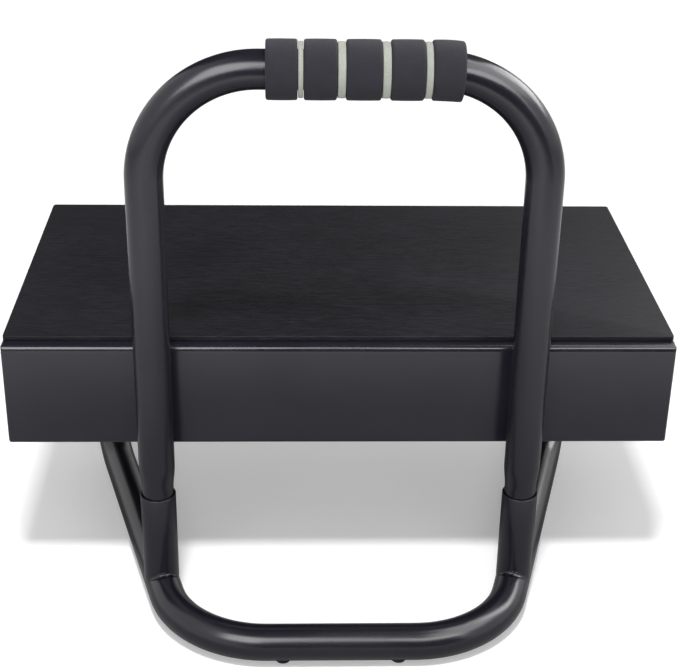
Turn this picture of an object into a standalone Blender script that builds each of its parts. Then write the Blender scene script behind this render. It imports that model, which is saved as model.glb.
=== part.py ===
"""Adjustable footrest: a steel tray with a mat that tilts on a bent tube stand with a carrying handle.

Metres, +Z up. X runs across the tray, -Y is the side of the handle, and the floor is Z = 0.
The origin is under the middle of the stand's outline. "Back" is measured from the tray's front face.
"""

from math import acos, asin, atan2, cos, degrees, hypot, pi, radians, sin, sqrt, tan

import bmesh
import bpy
from mathutils import Matrix, Vector

# Tube
TUBE_DIAMETER = 0.022
TUBE_WALL = 0.0012

# Tray and mat
TRAY_WIDTH = 0.411
TRAY_DEPTH = 0.225
TRAY_APRON = 0.0675
TRAY_TOP_HEIGHT = 0.171
TRAY_SHEET = 0.0015
TRAY_EDGE_RADIUS = 0.0025
TRAY_LIP = 0.008
MAT_THICKNESS = 0.003
MAT_FRONT_SETBACK = 0.007
MAT_SIDE_SETBACK = 0.0005
MAT_EDGE_RADIUS = 0.0008

# Stand
FRONT_BAR_REACH = 0.0825  # bar's axis ahead of the tray's face
BASE_CORNER_BEND = 0.066
RISER_BACK = 0.178
RISER_INSET = 0.037  # riser's axis in from the tray's side
RISER_BEND = 0.055
TOP_ARM_DROP = 0.036  # top arm's axis below the tray's top

# Handle
HANDLE_WIDTH = 0.225  # between the uprights' axes
HANDLE_STANDOFF = 0.019  # uprights' axes ahead of the tray's face
HANDLE_TOP_HEIGHT = 0.3483  # of the axis
HANDLE_BEND = 0.064
SOCKET_TOP_HEIGHT = 0.079
SOCKET_WALL = 0.001
NECK_DIAMETER = 0.0194
NECK_SHOWN = 0.004
NECK_TAPER = 0.016
NECK_INSERTED = 0.042
WELD_BEAD = 0.002
HANDLE_SCREW_DIAMETER = 0.005
HANDLE_SCREW_DEPTH = 0.021  # below the socket's rim

# Grip
GRIP_DIAMETER = 0.0328
GRIP_RING_DIAMETER = 0.0304
GRIP_SEGMENTS = 5
GRIP_SEGMENT_LENGTH = 0.0177
GRIP_RING_LENGTH = 0.0041
GRIP_SHIFT = 0.0095  # to the right of the handle's middle
GRIP_EDGE_RADIUS = 0.0014
GRIP_END_TURN = 0.35  # share of the handle's turn that the stiff foam follows

# Tilt
PIVOT_BACK = 0.108
TILT_RANGE = radians(20)
PIVOT_ROD_DIAMETER = 0.008
LOCK_BOLT_DIAMETER = 0.006
LOCK_RADIUS = 0.058  # lock bolt's axis ahead of the pivot
BRACKET_SHEET = 0.0025
BRACKET_MARGIN = 0.0065  # metal round the slot
BRACKET_EAR = 0.013  # radius round the pivot
BRACKET_FLANGE = 0.013
SPACER_DIAMETER = 0.015
SPACER_CROWN = 0.003  # thickness over the tube's crown
ROD_NUT_WIDTH = 0.013
ROD_NUT_HEIGHT = 0.0065
BOLT_HEAD_DIAMETER = 0.015
BOLT_HEAD_HEIGHT = 0.0033
KNOB_DIAMETER = 0.030
KNOB_THICKNESS = 0.013
KNOB_LOBES = 5
KNOB_LOBE_DEPTH = 0.0018
KNOB_EDGE_RADIUS = 0.0015
ARM_END_MARGIN = 0.020  # arm past the lock bolt
PLUG_HEAD = 0.002
PLUG_DEPTH = 0.014

# Stiffener
STIFFENER_CROWN = 0.018
STIFFENER_FLANGE = 0.010
STIFFENER_FLARE = 0.003
STIFFENER_HEIGHT = 0.009
STIFFENER_SHEET = 0.0012
STIFFENER_END_GAP = 0.010  # to the arms

# Feet
FOOT_DIAMETER = 0.009
FOOT_HEIGHT = 0.002
FOOT_STEM_DIAMETER = 0.004
FOOT_STEM_LENGTH = 0.006
FRONT_FOOT_SPACING = 0.070
REAR_FOOT_BACK = 0.112

# Clearances
GAP = 0.0003  # between neighbours that touch or run in each other
GRIP_BORE_GAP = 0.0005

# Facets
TUBE_RESOLUTION = 6
GRIP_RESOLUTION = 8
BEND_STEPS = 6
HANDLE_BEND_STEPS = 9
ROUND_STEPS = 16
WELD_STEPS = 24
ARC_STEPS = 8

# Derived places
tube_radius = TUBE_DIAMETER / 2
stand_depth = FRONT_BAR_REACH + tube_radius + TRAY_DEPTH
face_y = FRONT_BAR_REACH + tube_radius - stand_depth / 2
floor_axis_z = FOOT_HEIGHT + tube_radius
bar_y = face_y - FRONT_BAR_REACH
handle_x = HANDLE_WIDTH / 2
handle_y = face_y - HANDLE_STANDOFF
riser_x = TRAY_WIDTH / 2 - RISER_INSET
riser_y = face_y + RISER_BACK
top_arm_z = TRAY_TOP_HEIGHT - TOP_ARM_DROP
pivot = Vector((0, face_y + PIVOT_BACK, top_arm_z))
lock_y = pivot.y - LOCK_RADIUS
arm_end_y = lock_y - ARM_END_MARGIN
underside_z = TRAY_TOP_HEIGHT - TRAY_SHEET
bracket_x = riser_x + tube_radius + SPACER_CROWN + 2 * GAP
bracket_outer_x = bracket_x + BRACKET_SHEET
arm_direction = Vector((riser_x - handle_x, riser_y - handle_y, 0)).normalized()
neck_radius = NECK_DIAMETER / 2
neck_top_z = SOCKET_TOP_HEIGHT + NECK_SHOWN
SIDES = {"left": -1, "right": 1}

# Turns an outline's own X, Y and Z to the stand's Y, Z and X
FACING_SIDE = (pi / 2, 0, pi / 2)


def start_scene():
    """Empties the scene and makes the collections of the footrest and of its cutters."""
    for thing in list(bpy.data.objects):
        bpy.data.objects.remove(thing, do_unlink=True)
    made = []
    for name in ("adjustable_footrest", "cutters"):
        collection = bpy.data.collections.new(name)
        bpy.context.scene.collection.children.link(collection)
        made.append(collection)
    made[1].hide_render = True
    return made


def make_material(name, colour, roughness, metallic=0.0):
    """A plain finish: sRGB hex colour, roughness and metallic value."""
    finish = bpy.data.materials.new(name)
    finish.use_nodes = True
    shader = finish.node_tree.nodes["Principled BSDF"]
    levels = [int(colour[i : i + 2], 16) / 255 for i in (1, 3, 5)]
    linear = [((v + 0.055) / 1.055) ** 2.4 if v > 0.04045 else v / 12.92 for v in levels]
    shader.inputs["Base Color"].default_value = (*linear, 1)
    shader.inputs["Roughness"].default_value = roughness
    shader.inputs["Metallic"].default_value = metallic
    return finish


def finish_part(part, finish, body=None):
    """Gives a part its finish and, on a moving body, its parent empty."""
    part.data.materials.clear()
    part.data.materials.append(finish)
    if body:
        part.parent = body
        part.matrix_parent_inverse = body.matrix_world.inverted()
    return part


def link_cutter(cutter):
    """Moves an object to the cutters, out of the render."""
    for collection in list(cutter.users_collection):
        collection.objects.unlink(cutter)
    cutters.objects.link(cutter)
    cutter.hide_render = True
    cutter.display_type = "WIRE"
    return cutter


def mesh_object(name, shape, smooth=True):
    """An object of a finished bmesh."""
    mesh = bpy.data.meshes.new(name)
    shape.to_mesh(mesh)
    shape.free()
    if smooth:
        mesh.shade_smooth()
        mesh.set_sharp_from_angle(angle=radians(30))
    part = bpy.data.objects.new(name, mesh)
    footrest.objects.link(part)
    return part


def as_mesh(curve):
    """Turns a curve object into a welded mesh object of the same name and place."""
    bpy.context.view_layer.update()
    graph = bpy.context.evaluated_depsgraph_get()
    mesh = bpy.data.meshes.new_from_object(curve.evaluated_get(graph))
    shape = bmesh.new()
    shape.from_mesh(mesh)
    bmesh.ops.remove_doubles(shape, verts=shape.verts, dist=1e-6)
    name = curve.name
    place = curve.matrix_world.copy()
    bpy.data.objects.remove(curve, do_unlink=True)
    bpy.data.meshes.remove(mesh)
    part = mesh_object(name, shape)
    part.name = name
    part.matrix_world = place
    return part


def cut(part, cutter):
    """Takes a cutter's shape out of a part."""
    step = part.modifiers.new("cut_" + cutter.name, "BOOLEAN")
    step.operation = "DIFFERENCE"
    step.solver = "EXACT"
    step.object = cutter


def join(part, other):
    """Unites a part with a shape that overlaps it, kept among the cutters."""
    step = part.modifiers.new("join_" + other.name, "BOOLEAN")
    step.operation = "UNION"
    step.solver = "EXACT"
    step.object = link_cutter(other)


def round_edges(part, width, segments=2, angle=radians(50)):
    """Rounds every edge sharper than an angle."""
    step = part.modifiers.new("rounding", "BEVEL")
    step.width = width
    step.segments = segments
    step.limit_method = "ANGLE"
    step.angle_limit = angle


def thicken(part, wall):
    """Gives an open surface its wall, inwards."""
    step = part.modifiers.new("wall", "SOLIDIFY")
    step.thickness = wall
    step.offset = -1
    step.use_even_offset = True


def cylinder_cutter(name, start, end, radius):
    """A round cutter between two points."""
    start = Vector(start)
    end = Vector(end)
    shape = bmesh.new()
    bmesh.ops.create_cone(
        shape,
        cap_ends=True,
        segments=ROUND_STEPS if radius < tube_radius else 2 * ROUND_STEPS,
        radius1=radius,
        radius2=radius,
        depth=(end - start).length,
    )
    cutter = mesh_object(name, shape)
    cutter.rotation_mode = "QUATERNION"
    cutter.rotation_quaternion = (end - start).to_track_quat("Z", "Y")
    cutter.location = (start + end) / 2
    return link_cutter(cutter)


def arc(centre, radius, first, last, steps=ARC_STEPS):
    """Points of an arc in a plane, angles in radians."""
    angles = [first + (last - first) * i / steps for i in range(steps + 1)]
    return [(centre[0] + radius * cos(a), centre[1] + radius * sin(a)) for a in angles]


def circle(radius, centre=(0, 0), steps=ROUND_STEPS, first=0.0):
    """Points of a full circle, or of a regular polygon of a few steps."""
    return arc(centre, radius, first, first + 2 * pi, steps)[:-1]


def rounded_path(corners, bend, steps):
    """The corners of a path with each inner corner replaced by an arc of the bend's radius."""
    points = [corners[0]]
    for before, corner, after in zip(corners, corners[1:], corners[2:]):
        back = (before - corner).normalized()
        ahead = (after - corner).normalized()
        half_angle = back.angle(ahead) / 2
        radius = min(bend, 0.49 * min((before - corner).length, (after - corner).length) * tan(half_angle))
        centre = corner + (back + ahead).normalized() * radius / sin(half_angle)
        spoke = corner + back * radius / tan(half_angle) - centre
        axis = spoke.cross(-back)
        turn = pi - 2 * half_angle
        for i in range(steps + 1):
            points.append(centre + Matrix.Rotation(turn * i / steps, 3, axis) @ spoke)
    points.append(corners[-1])
    return points


def swept(name, points, radius, resolution, radii=None, closed=False, caps=False):
    """A round tube surface along points, as a mesh."""
    curve = bpy.data.curves.new(name, "CURVE")
    curve.dimensions = "3D"
    curve.bevel_depth = radius
    curve.bevel_resolution = resolution
    curve.use_fill_caps = caps
    spline = curve.splines.new("POLY")
    spline.points.add(len(points) - 1)
    for i, place in enumerate(points):
        spline.points[i].co = (*place, 1)
        spline.points[i].radius = radii[i] if radii else 1
    spline.use_cyclic_u = closed
    tube = bpy.data.objects.new(name, curve)
    footrest.objects.link(tube)
    return as_mesh(tube)


def pipe(name, points, radius, wall, resolution=TUBE_RESOLUTION, radii=None):
    """A tube with open ends and a wall."""
    tube = swept(name, points, radius, resolution, radii)
    thicken(tube, wall)
    return tube


def flat_piece(name, outlines, thickness, place, turn=FACING_SIDE):
    """A flat outline with holes, extruded about its middle plane."""
    curve = bpy.data.curves.new(name, "CURVE")
    curve.dimensions = "2D"
    curve.fill_mode = "BOTH"
    curve.extrude = thickness / 2
    for outline in outlines:
        spline = curve.splines.new("POLY")
        spline.points.add(len(outline) - 1)
        for i, (x, y) in enumerate(outline):
            spline.points[i].co = (x, y, 0, 1)
        spline.use_cyclic_u = True
    part = bpy.data.objects.new(name, curve)
    part.location = place
    part.rotation_euler = turn
    footrest.objects.link(part)
    return as_mesh(part)


def turned(name, profile, place, direction):
    """A turned piece: (radius, height) points down its outer side, its axis turned to a direction."""
    shape = bmesh.new()
    ring = [shape.verts.new((radius, 0, height)) for radius, height in profile]
    for first, second in zip(ring, ring[1:]):
        shape.edges.new((first, second))
    part = mesh_object(name, shape, smooth=False)
    step = part.modifiers.new("turning", "SCREW")
    step.steps = ROUND_STEPS
    step.render_steps = ROUND_STEPS
    step.use_merge_vertices = True
    step.merge_threshold = 0.00005
    step.use_smooth_shade = True
    part.rotation_mode = "QUATERNION"
    part.rotation_quaternion = Vector(direction).to_track_quat("Z", "Y")
    part.location = place
    return part


def dome(radius, height, base, steps=4):
    """Profile points of a shallow dome, from its pole down to its rim."""
    return [(radius * sin(pi / 2 * i / steps), base + height * cos(pi / 2 * i / steps)) for i in range(steps + 1)]


def arm_cutter(side, name, first_y, last_y):
    """The room that a top arm's outside needs in a saddle."""
    x = side * riser_x
    return cylinder_cutter(name, (x, first_y, top_arm_z), (x, last_y, top_arm_z), tube_radius + GAP)


def build_base_frame():
    """The one bent tube: front bar, floor arms, risers and top arms."""
    bar_to_socket = handle_y - bar_y
    corner_x = handle_x - bar_to_socket * arm_direction.x / arm_direction.y
    half = [
        Vector((corner_x, bar_y, floor_axis_z)),
        Vector((riser_x, riser_y, floor_axis_z)),
        Vector((riser_x, riser_y, top_arm_z)),
        Vector((riser_x, arm_end_y, top_arm_z)),
    ]
    mirrored = [Vector((-point.x, point.y, point.z)) for point in reversed(half)]
    left = rounded_path(mirrored, RISER_BEND, BEND_STEPS)[:-1]
    right = [Vector((-point.x, point.y, point.z)) for point in reversed(left)]
    front = rounded_path([mirrored[2], mirrored[3], half[0], half[1]], BASE_CORNER_BEND, BEND_STEPS)[1:-1]
    frame = pipe("base_frame_tube", left + front + right, tube_radius, TUBE_WALL)
    reach = riser_x + TUBE_DIAMETER
    for name, y, diameter in (
        ("pivot_hole", pivot.y, PIVOT_ROD_DIAMETER),
        ("lock_hole", lock_y, LOCK_BOLT_DIAMETER),
    ):
        cut(frame, cylinder_cutter(name, (-reach, y, top_arm_z), (reach, y, top_arm_z), diameter / 2 + GAP))
    for name, place in foot_places().items():
        hole = cylinder_cutter(
            name + "_hole",
            place,
            place + Vector((0, 0, FOOT_HEIGHT + tube_radius)),
            FOOT_STEM_DIAMETER / 2 + GAP,
        )
        cut(frame, hole)
    return finish_part(frame, tube_paint)


def foot_places():
    """Floor points of the four feet: two under the front bar, two under the floor arms."""
    places = {}
    for side_name, side in SIDES.items():
        places["front_foot_" + side_name] = Vector((side * FRONT_FOOT_SPACING / 2, bar_y, 0))
        along = (face_y + REAR_FOOT_BACK - handle_y) / arm_direction.y
        rear_x = handle_x + along * arm_direction.x
        places["rear_foot_" + side_name] = Vector((side * rear_x, face_y + REAR_FOOT_BACK, 0))
    return places


def build_feet():
    """Rubber feet: a flat pad with a stem that plugs into the tube."""
    radius = FOOT_DIAMETER / 2
    stem = FOOT_STEM_DIAMETER / 2
    pad_top = FOOT_HEIGHT - GAP
    edge = FOOT_HEIGHT / 4
    profile = [
        (0, FOOT_STEM_LENGTH),
        (stem, FOOT_STEM_LENGTH - edge),
        (stem, pad_top),
        (radius, pad_top),
        (radius, edge),
        (radius - edge, 0),
        (0, 0),
    ]
    for name, place in foot_places().items():
        finish_part(turned(name, profile, place, (0, 0, 1)), rubber)


def build_sockets():
    """Sockets saddle-cut to the floor arms, their weld beads and the screws that hold the handle."""
    screw_z = SOCKET_TOP_HEIGHT - HANDLE_SCREW_DEPTH
    screw_radius = HANDLE_SCREW_DIAMETER / 2
    for side_name, side in SIDES.items():
        foot = Vector((side * handle_x, handle_y, floor_axis_z))
        along = Vector((side * arm_direction.x, arm_direction.y, 0))
        rim = Vector((foot.x, foot.y, SOCKET_TOP_HEIGHT))
        socket = pipe("handle_socket_" + side_name, [foot, rim], tube_radius, SOCKET_WALL)
        reach = along * TUBE_DIAMETER
        cut(socket, cylinder_cutter("saddle_" + side_name, foot - reach, foot + reach, tube_radius + GAP))
        behind = Vector((foot.x, foot.y + TUBE_DIAMETER, screw_z))
        inside = Vector((foot.x, foot.y + neck_radius / 2, screw_z))
        screw_hole = cylinder_cutter("screw_hole_" + side_name, inside, behind, screw_radius + GAP)
        cut(socket, screw_hole)
        cut(handle, screw_hole)
        finish_part(socket, tube_paint)
        build_weld(side_name, foot, along)
        head = screw_radius * 1.9
        profile = dome(head, screw_radius * 1.1, 0) + [
            (screw_radius, 0),
            (screw_radius, -(tube_radius - neck_radius + 2 * TUBE_WALL)),
            (0, -(tube_radius - neck_radius + 2 * TUBE_WALL)),
        ]
        seat = Vector((foot.x, foot.y + tube_radius + GAP, screw_z))
        finish_part(turned("handle_screw_" + side_name, profile, seat, (0, 1, 0)), zinc)


def build_weld(side_name, foot, along):
    """A fillet bead that follows the saddle where the socket stands on the arm."""
    ring = tube_radius + WELD_BEAD / 2 + GAP
    across = along.cross(Vector((0, 0, 1)))
    points = []
    for i in range(WELD_STEPS):
        angle = 2 * pi * i / WELD_STEPS
        height = sqrt((ring + GAP) ** 2 - (ring * sin(angle)) ** 2)
        points.append(foot + ring * (cos(angle) * along + sin(angle) * across) + Vector((0, 0, height)))
    bead = swept("socket_weld_" + side_name, points, WELD_BEAD / 2, 1, closed=True)
    finish_part(bead, tube_paint)


def build_handle():
    """The inverted U with its ends necked down to enter the sockets."""
    corners = [
        Vector((-handle_x, handle_y, neck_top_z + NECK_TAPER)),
        Vector((-handle_x, handle_y, HANDLE_TOP_HEIGHT)),
        Vector((handle_x, handle_y, HANDLE_TOP_HEIGHT)),
        Vector((handle_x, handle_y, neck_top_z + NECK_TAPER)),
    ]
    top = rounded_path(corners, HANDLE_BEND, HANDLE_BEND_STEPS)
    left = [Vector((-handle_x, handle_y, z)) for z in (SOCKET_TOP_HEIGHT - NECK_INSERTED, neck_top_z)]
    right = [Vector((handle_x, point.y, point.z)) for point in reversed(left)]
    neck = neck_radius / tube_radius
    radii = [neck, neck] + [1] * len(top) + [neck, neck]
    return finish_part(pipe("handle_tube", left + top + right, tube_radius, TUBE_WALL, radii=radii), tube_paint)


def build_grip():
    """Foam segments and the rings between them, threaded on the handle's top."""
    bore = tube_radius + GRIP_BORE_GAP
    pitch = GRIP_SEGMENT_LENGTH + GRIP_RING_LENGTH + 2 * GAP
    length = GRIP_SEGMENTS * pitch - GRIP_RING_LENGTH - 2 * GAP
    first = GRIP_SHIFT - length / 2
    for i in range(GRIP_SEGMENTS):
        start = first + i * pitch
        grip_piece(f"grip_segment_{i + 1}", start, GRIP_SEGMENT_LENGTH, GRIP_DIAMETER / 2, bore, black_foam)
        if i < GRIP_SEGMENTS - 1:
            ring_start = start + GRIP_SEGMENT_LENGTH + GAP
            grip_piece(f"grip_ring_{i + 1}", ring_start, GRIP_RING_LENGTH, GRIP_RING_DIAMETER / 2, bore, grey_foam)


def grip_piece(name, start, length, radius, bore, finish):
    """One sleeve between two places along the handle's top."""
    straight = handle_x - HANDLE_BEND
    steps = 3 if start + length > straight else 1
    points = [Vector((start + length * i / steps, handle_y, HANDLE_TOP_HEIGHT)) for i in range(steps + 1)]
    sleeve = pipe(name, points, radius, radius - bore, GRIP_RESOLUTION)
    for corner in sleeve.data.vertices:
        past = corner.co.x - straight
        if past > 0:
            turn = asin(past / HANDLE_BEND)
            corner.co.x += (corner.co.z - HANDLE_TOP_HEIGHT) * sin(turn * GRIP_END_TURN)
            corner.co.z -= HANDLE_BEND * (1 - cos(turn))
    if radius * 2 == GRIP_DIAMETER:
        round_edges(sleeve, GRIP_EDGE_RADIUS)
    finish_part(sleeve, finish)


def build_tray():
    """The folded pan, open below, with a return lip round its foot."""
    shape = bmesh.new()
    bmesh.ops.create_cube(shape, size=1)
    bmesh.ops.scale(shape, vec=(TRAY_WIDTH, TRAY_DEPTH, TRAY_APRON), verts=shape.verts)
    bottom = [face for face in shape.faces if face.normal.z < -0.5]
    bmesh.ops.delete(shape, geom=bottom, context="FACES_ONLY")
    folds = [edge for edge in shape.edges if not edge.is_boundary]
    bmesh.ops.bevel(
        shape, geom=folds, offset=TRAY_EDGE_RADIUS, segments=3, profile=0.5, affect="EDGES", clamp_overlap=True
    )
    foot = [edge for edge in shape.edges if edge.is_boundary]
    lip = bmesh.ops.extrude_edge_only(shape, edges=foot)["geom"]
    inner = [item for item in lip if isinstance(item, bmesh.types.BMVert)]
    shrink = (1 - 2 * TRAY_LIP / TRAY_WIDTH, 1 - 2 * TRAY_LIP / TRAY_DEPTH, 1)
    bmesh.ops.scale(shape, vec=shrink, verts=inner)
    bmesh.ops.recalc_face_normals(shape, faces=shape.faces)
    tray = mesh_object("platform_tray", shape)
    tray.location = (0, face_y + TRAY_DEPTH / 2, TRAY_TOP_HEIGHT - TRAY_APRON / 2)
    thicken(tray, TRAY_SHEET)
    return finish_part(tray, tray_paint, tilt_axis)


def build_mat():
    """The thin mat laid on the tray's top."""
    depth = TRAY_DEPTH - MAT_FRONT_SETBACK
    shape = bmesh.new()
    bmesh.ops.create_cube(shape, size=1)
    bmesh.ops.scale(shape, vec=(TRAY_WIDTH - 2 * MAT_SIDE_SETBACK, depth, MAT_THICKNESS), verts=shape.verts)
    mat = mesh_object("foot_mat", shape)
    mat.location = (0, face_y + MAT_FRONT_SETBACK + depth / 2, TRAY_TOP_HEIGHT + GAP + MAT_THICKNESS / 2)
    round_edges(mat, MAT_EDGE_RADIUS)
    return finish_part(mat, mat_rubber, tilt_axis)


def build_stiffener():
    """A hat section spot-welded across the tray's underside, between the arms."""
    crown = STIFFENER_CROWN / 2
    web = crown + STIFFENER_FLARE
    flange = web + STIFFENER_FLANGE
    half = [(crown, -STIFFENER_HEIGHT), (web, 0), (flange, 0)]
    section = [(-x, z) for x, z in reversed(half)] + half
    length = 2 * (riser_x - tube_radius - STIFFENER_END_GAP)
    shape = bmesh.new()
    start = [shape.verts.new((-length / 2, y, z)) for y, z in section]
    edges = [shape.edges.new(pair) for pair in zip(start, start[1:])]
    swept_out = bmesh.ops.extrude_edge_only(shape, edges=edges)["geom"]
    end = [item for item in swept_out if isinstance(item, bmesh.types.BMVert)]
    bmesh.ops.translate(shape, vec=(length, 0, 0), verts=end)
    for face in shape.faces:
        if face.normal.z < 0:
            face.normal_flip()
    stiffener = mesh_object("tray_stiffener", shape, smooth=False)
    stiffener.location = (0, face_y + TRAY_DEPTH / 2, underside_z - GAP)
    thicken(stiffener, STIFFENER_SHEET)
    return finish_part(stiffener, tray_paint, tilt_axis)


def bracket_outlines():
    """The bracket's edge, its pivot hole and its arc slot, seen along X with the pivot at 0, 0."""
    top = underside_z - GAP - pivot.z
    slot_half = LOCK_BOLT_DIAMETER / 2 + GAP
    cap = slot_half + BRACKET_MARGIN
    start = pi
    end = pi + TILT_RANGE
    slot_end = (LOCK_RADIUS * cos(end), LOCK_RADIUS * sin(end))
    outer = LOCK_RADIUS + cap
    top_angle = pi - atan2(top, sqrt(outer**2 - top**2))
    lean = atan2(-slot_end[1], -slot_end[0])
    fall = lean - pi + acos((BRACKET_EAR - cap) / hypot(*slot_end))
    edge = [(BRACKET_EAR, top)]
    edge += arc((0, 0), BRACKET_EAR, 0, fall)
    edge += arc(slot_end, cap, fall, end - 2 * pi)
    edge += arc((0, 0), outer, end, top_angle)
    slot = arc((0, 0), LOCK_RADIUS + slot_half, start, end)
    slot += arc(slot_end, slot_half, end, end + pi)
    slot += arc((0, 0), LOCK_RADIUS - slot_half, end, start)
    slot += arc((-LOCK_RADIUS, 0), slot_half, 0, pi)
    hole = circle(PIVOT_ROD_DIAMETER / 2 + GAP)
    return edge, hole, slot, top, top_angle, outer


def build_brackets():
    """Folded side brackets with the pivot hole and the arc slot, flanged to the tray's underside."""
    edge, hole, slot, top, top_angle, outer = bracket_outlines()
    front = outer * cos(top_angle)
    for side_name, side in SIDES.items():
        place = (side * (bracket_x + BRACKET_SHEET / 2), pivot.y, pivot.z)
        bracket = flat_piece("tilt_bracket_" + side_name, [edge, hole, slot], BRACKET_SHEET, place)
        shape = bmesh.new()
        bmesh.ops.create_cube(shape, size=1)
        size = (BRACKET_FLANGE, BRACKET_EAR - front, BRACKET_SHEET)
        bmesh.ops.scale(shape, vec=size, verts=shape.verts)
        flange = mesh_object("bracket_flange_" + side_name, shape, smooth=False)
        flange.location = (
            side * (bracket_x + BRACKET_FLANGE / 2),
            pivot.y + (BRACKET_EAR + front) / 2,
            pivot.z + top - BRACKET_SHEET / 2,
        )
        join(bracket, flange)
        finish_part(bracket, tray_paint, tilt_axis)


def saddle(name, side, y, bore, outward):
    """A plastic spacer between a top arm's round side and a flat neighbour."""
    inner = tube_radius / 2
    outer = tube_radius + GAP + SPACER_CROWN
    middle = side * riser_x + side * outward * (inner + outer) / 2
    rings = [circle(SPACER_DIAMETER / 2), circle(bore + GAP)]
    spacer = flat_piece(name, rings, outer - inner, (middle, y, top_arm_z))
    cut(spacer, arm_cutter(side, name + "_seat", y - SPACER_DIAMETER, y + SPACER_DIAMETER))
    finish_part(spacer, black_plastic)


def build_pivot():
    """The rod that joins both arms and carries the brackets, with its spacers and lock nuts."""
    rod_end = bracket_outer_x + GAP + ROD_NUT_HEIGHT + PIVOT_ROD_DIAMETER / 4
    radius = PIVOT_ROD_DIAMETER / 2
    chamfer = radius / 5
    profile = [
        (0, rod_end),
        (radius - chamfer, rod_end),
        (radius, rod_end - chamfer),
        (radius, chamfer - rod_end),
        (radius - chamfer, -rod_end),
        (0, -rod_end),
    ]
    finish_part(turned("pivot_rod", profile, pivot, (1, 0, 0)), zinc)
    for side_name, side in SIDES.items():
        saddle("pivot_spacer_" + side_name, side, pivot.y, radius, 1)
        across_corners = ROD_NUT_WIDTH / cos(pi / 6)
        rings = [circle(across_corners / 2, steps=6), circle(radius + GAP)]
        place = (side * (bracket_outer_x + GAP + ROD_NUT_HEIGHT / 2), pivot.y, pivot.z)
        nut = flat_piece("pivot_nut_" + side_name, rings, ROD_NUT_HEIGHT, place)
        finish_part(nut, zinc)


def knob_outline():
    """A lobed outline for the fingers."""
    steps = 6 * KNOB_LOBES
    middle = KNOB_DIAMETER / 2 - KNOB_LOBE_DEPTH / 2
    points = []
    for i in range(steps):
        angle = 2 * pi * i / steps
        radius = middle + KNOB_LOBE_DEPTH / 2 * cos(KNOB_LOBES * angle)
        points.append((radius * cos(angle), radius * sin(angle)))
    return points


def build_locks():
    """Carriage bolts through the arc slots and the arms, drawn up by hand knobs on the inner side."""
    radius = LOCK_BOLT_DIAMETER / 2
    knob_face = riser_x - tube_radius - 2 * GAP - SPACER_CROWN
    knob_middle = knob_face - GAP - KNOB_THICKNESS / 2
    bolt_tip = knob_face - GAP - KNOB_THICKNESS + radius / 2
    seat = bracket_outer_x + GAP
    for side_name, side in SIDES.items():
        saddle("lock_spacer_" + side_name, side, lock_y, radius, 1)
        saddle("lock_saddle_" + side_name, side, lock_y, radius, -1)
        profile = dome(BOLT_HEAD_DIAMETER / 2, BOLT_HEAD_HEIGHT, seat) + [
            (radius, seat),
            (radius, bolt_tip),
            (0, bolt_tip),
        ]
        bolt = turned("lock_bolt_" + side_name, profile, (0, lock_y, top_arm_z), (side, 0, 0))
        finish_part(bolt, zinc)
        knob_axis = bpy.data.objects.new("knob_axis_" + side_name, None)
        knob_axis.location = (side * knob_middle, lock_y, top_arm_z)
        footrest.objects.link(knob_axis)
        bpy.context.view_layer.update()
        rings = [knob_outline(), circle(radius + GAP)]
        knob = flat_piece("lock_knob_" + side_name, rings, KNOB_THICKNESS, knob_axis.location)
        round_edges(knob, KNOB_EDGE_RADIUS, segments=1)
        finish_part(knob, black_plastic, knob_axis)


def build_plugs():
    """Plastic plugs in the top arms' front ends."""
    bore = tube_radius - TUBE_WALL - GAP
    profile = dome(tube_radius, PLUG_HEAD, GAP) + [(bore, GAP), (bore, -PLUG_DEPTH), (0, -PLUG_DEPTH)]
    for side_name, side in SIDES.items():
        place = (side * riser_x, arm_end_y, top_arm_z)
        finish_part(turned("arm_plug_" + side_name, profile, place, (0, -1, 0)), black_plastic)


footrest, cutters = start_scene()

tube_paint = make_material("satin_black_tube_paint", "#333337", 0.42)
tray_paint = make_material("satin_black_tray_paint", "#37373A", 0.50)
mat_rubber = make_material("black_mat", "#2E2E31", 0.80)
black_foam = make_material("black_grip_foam", "#39383D", 0.90)
grey_foam = make_material("grey_grip_foam", "#B3B6AC", 0.85)
black_plastic = make_material("black_moulded_plastic", "#232325", 0.50)
rubber = make_material("black_rubber", "#1E1E20", 0.75)
zinc = make_material("zinc_plated_steel", "#B9BABC", 0.35, 1.0)

tilt_axis = bpy.data.objects.new("tilt_axis", None)
tilt_axis.location = pivot
footrest.objects.link(tilt_axis)
bpy.context.view_layer.update()

handle = build_handle()
build_base_frame()
build_feet()
build_sockets()
build_grip()
build_plugs()
build_tray()
build_mat()
build_stiffener()
build_brackets()
build_pivot()
build_locks()

print(f"floor arms splay {degrees(atan2(arm_direction.x, arm_direction.y)):.1f} degrees")
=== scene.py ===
"""Dressed scene of the adjustable footrest: coated steel tray, mat, bent tube stand, foam grip.

Metres, +Z up, floor at Z = 0. X runs across the tray and -Y is the side of the handle.
Each visible piece stands for the CAD node of its place and rides on that node's body.
"""

from math import acos, asin, atan2, cos, degrees, hypot, pi, radians, sin, sqrt, tan

import bmesh
import bpy
from mathutils import Matrix, Vector


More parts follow.
